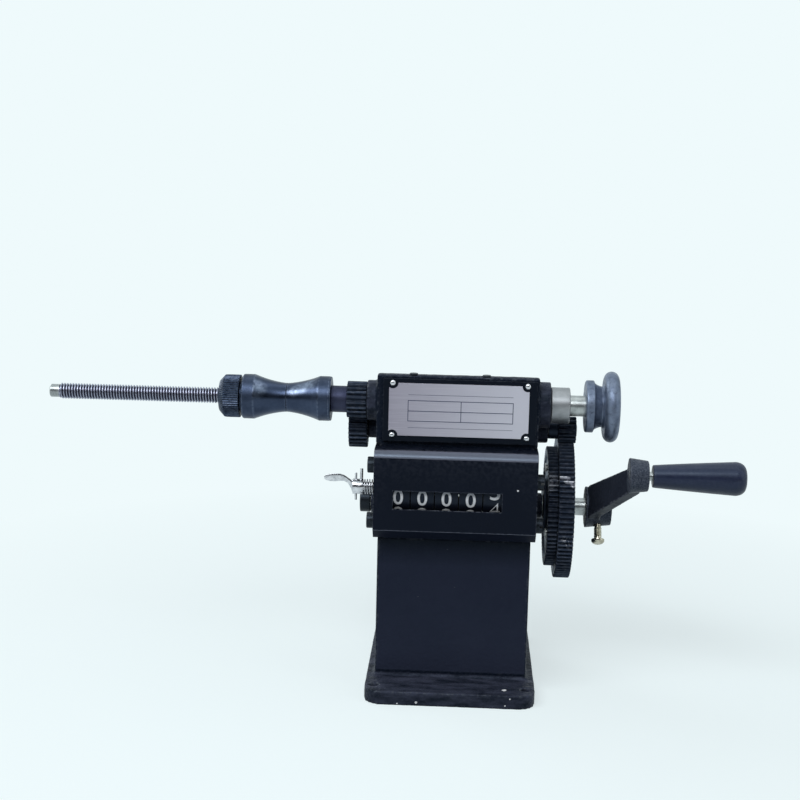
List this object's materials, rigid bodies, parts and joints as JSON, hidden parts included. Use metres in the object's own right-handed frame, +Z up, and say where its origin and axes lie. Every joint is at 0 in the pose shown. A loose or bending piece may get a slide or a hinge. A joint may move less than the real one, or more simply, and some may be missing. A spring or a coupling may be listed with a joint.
{
  "type": "hand-crank coil winding machine",
  "caption": "Bench winder: a side crank drives a geared threaded spindle with clamping cones and a wheel counter with a reset key, on a bolt-down pedestal casting.",
  "frame": {"origin": "centre of the base plate's underside", "axes": "+Z up, -Y towards the operator (rating plate and counter face -Y), +X towards the crank; the spindle runs along X with its threaded end at -X"},
  "size_m": [0.3462, 0.116, 0.1617],
  "materials": {
    "casting_paint": "near-black wrinkle enamel on the casting, chipped on its edges",
    "cover_paint": "black satin enamel on pressed sheet steel",
    "blackened_plate": "black satin enamel",
    "plate_metal": "brushed aluminium with a ruled blank table",
    "bright_screw": "bright nickel plate",
    "black_screw": "blackened steel",
    "bearing_bronze": "plain oiled bronze",
    "spindle_steel": "turned steel, oiled",
    "cone_steel": "turned steel, blued and worn",
    "spacer_steel": "turned steel, dull",
    "nut_steel": "knurled steel, blackened",
    "gear_black": "blackened, oiled",
    "collar_zinc": "bare die-cast zinc alloy, turned",
    "pulley_metal": "die-cast, dull, stained",
    "crank_iron": "painted casting, rough hub and smooth arm",
    "nickel_brass": "worn nickel plate on brass",
    "grip_bakelite": "moulded bakelite, satin",
    "counter_wheel": "black wheels with white plain digits",
    "counter_gear": "plain",
    "spring_steel": "bright plated wire"
  },
  "bodies": {
    "frame": {"frame_casting": "casting_paint", "spindle_bushes": "bearing_bronze", "countershaft_bushes": "bearing_bronze", "crank_bushes": "bearing_bronze", "plate_backing": "blackened_plate", "rating_plate": "plate_metal", "plate_screws": "bright_screw", "oil_plugs": "black_screw", "counter_cover": "cover_paint", "cover_screws": "black_screw", "counter_bushes": "bearing_bronze", "idler_axle": "spindle_steel", "idler_clip": "spring_steel", "carry_shaft": "spindle_steel", "carry_pinions": "counter_gear", "counter_spacer": "bearing_bronze"},
    "spindle": {"spindle_shaft": "spindle_steel", "spindle_spacer": "spacer_steel", "inner_cone": "cone_steel", "spindle_gear": "gear_black", "spindle_collar": "collar_zinc", "spindle_collar_screw": "black_screw", "drive_pulley": "pulley_metal", "drive_pulley_screw": "black_screw"},
    "loose_cone": {"outer_cone": "cone_steel"},
    "nut": {"clamp_nut": "nut_steel"},
    "countershaft": {"countershaft": "spindle_steel", "countershaft_gear": "gear_black", "countershaft_pinion": "gear_black", "counter_drive_pinion": "counter_gear"},
    "idler": {"idler_gear": "counter_gear", "idler_pinion": "counter_gear"},
    "crank": {"crank_shaft": "spindle_steel", "crank_gear": "gear_black", "second_speed_gear": "gear_black", "gear_hub_washer": "gear_black", "gear_rivets": "spindle_steel", "crank_arm": "crank_iron", "crank_clamp_screw": "nickel_brass", "handle_pin": "spindle_steel", "crank_collar": "black_screw", "crank_collar_screw": "spindle_steel"},
    "handle": {"handle_grip": "grip_bakelite"},
    "units": {"units_wheel": "counter_wheel", "units_gear": "counter_gear"},
    "tens": {"tens_wheel": "counter_wheel"},
    "hundreds": {"hundreds_wheel": "counter_wheel"},
    "thousands": {"thousands_wheel": "counter_wheel"},
    "ten_thousands": {"ten_thousands_wheel": "counter_wheel"},
    "reset_key": {"reset_shaft": "bright_screw", "reset_wing": "bright_screw", "reset_cross_pin": "bright_screw", "reset_stop_pin": "bright_screw", "reset_spring": "spring_steel", "retaining_ring": "spring_steel"}
  },
  "joints": [
    {"name": "crank_turn", "type": "hinge", "parent": "frame", "child": "crank", "pos_m": [0.064, 0.0038, 0.0879], "axis": [1, 0, 0], "continuous": true},
    {"name": "countershaft_spin", "type": "hinge", "parent": "frame", "child": "countershaft", "pos_m": [0, -0.00298, 0.12935], "axis": [1, 0, 0], "continuous": true},
    {"name": "spindle_spin", "type": "hinge", "parent": "frame", "child": "spindle", "pos_m": [0, -0.016, 0.144], "axis": [1, 0, 0], "continuous": true},
    {"name": "idler_spin", "type": "hinge", "parent": "frame", "child": "idler", "pos_m": [0.03, -0.00571, 0.10994], "axis": [1, 0, 0], "continuous": true},
    {"name": "units_spin", "type": "hinge", "parent": "frame", "child": "units", "pos_m": [0.0196, -0.0227, 0.101], "axis": [1, 0, 0], "continuous": true},
    {"name": "tens_spin", "type": "hinge", "parent": "frame", "child": "tens", "pos_m": [0.0077, -0.0227, 0.101], "axis": [1, 0, 0], "continuous": true},
    {"name": "hundreds_spin", "type": "hinge", "parent": "frame", "child": "hundreds", "pos_m": [-0.0042, -0.0227, 0.101], "axis": [1, 0, 0], "continuous": true},
    {"name": "thousands_spin", "type": "hinge", "parent": "frame", "child": "thousands", "pos_m": [-0.0161, -0.0227, 0.101], "axis": [1, 0, 0], "continuous": true},
    {"name": "ten_thousands_spin", "type": "hinge", "parent": "frame", "child": "ten_thousands", "pos_m": [-0.028, -0.0227, 0.101], "axis": [1, 0, 0], "continuous": true},
    {"name": "handle_spin", "type": "hinge", "parent": "crank", "child": "handle", "pos_m": [0.11, -0.03865, 0.11432], "axis": [1, 0, 0], "continuous": true},
    {"name": "reset_turn", "type": "hinge", "parent": "frame", "child": "reset_key", "pos_m": [-0.045, -0.0227, 0.101], "axis": [1, 0, 0], "continuous": true},
    {"name": "cone_slide", "type": "slide", "parent": "spindle", "child": "loose_cone", "axis": [-1, 0, 0], "range_m": [0, 0.0777]},
    {"name": "nut_turn", "type": "hinge", "parent": "loose_cone", "child": "nut", "pos_m": [-0.114, -0.016, 0.144], "axis": [-1, 0, 0], "range_deg": [0, 20000]}
  ],
  "couplings": [
    {"joint": "countershaft_spin", "follows": "crank_turn", "ratio": -6},
    {"joint": "spindle_spin", "follows": "crank_turn", "ratio": 8},
    {"joint": "idler_spin", "follows": "crank_turn", "ratio": 2.4},
    {"joint": "units_spin", "follows": "crank_turn", "ratio": -0.8},
    {"joint": "tens_spin", "follows": "crank_turn", "ratio": -0.08},
    {"joint": "hundreds_spin", "follows": "crank_turn", "ratio": -0.008},
    {"joint": "thousands_spin", "follows": "crank_turn", "ratio": -0.0008},
    {"joint": "ten_thousands_spin", "follows": "crank_turn", "ratio": -0.00008},
    {"joint": "nut_turn", "follows": "cone_slide", "rad_per_m": 4453}
  ]
}
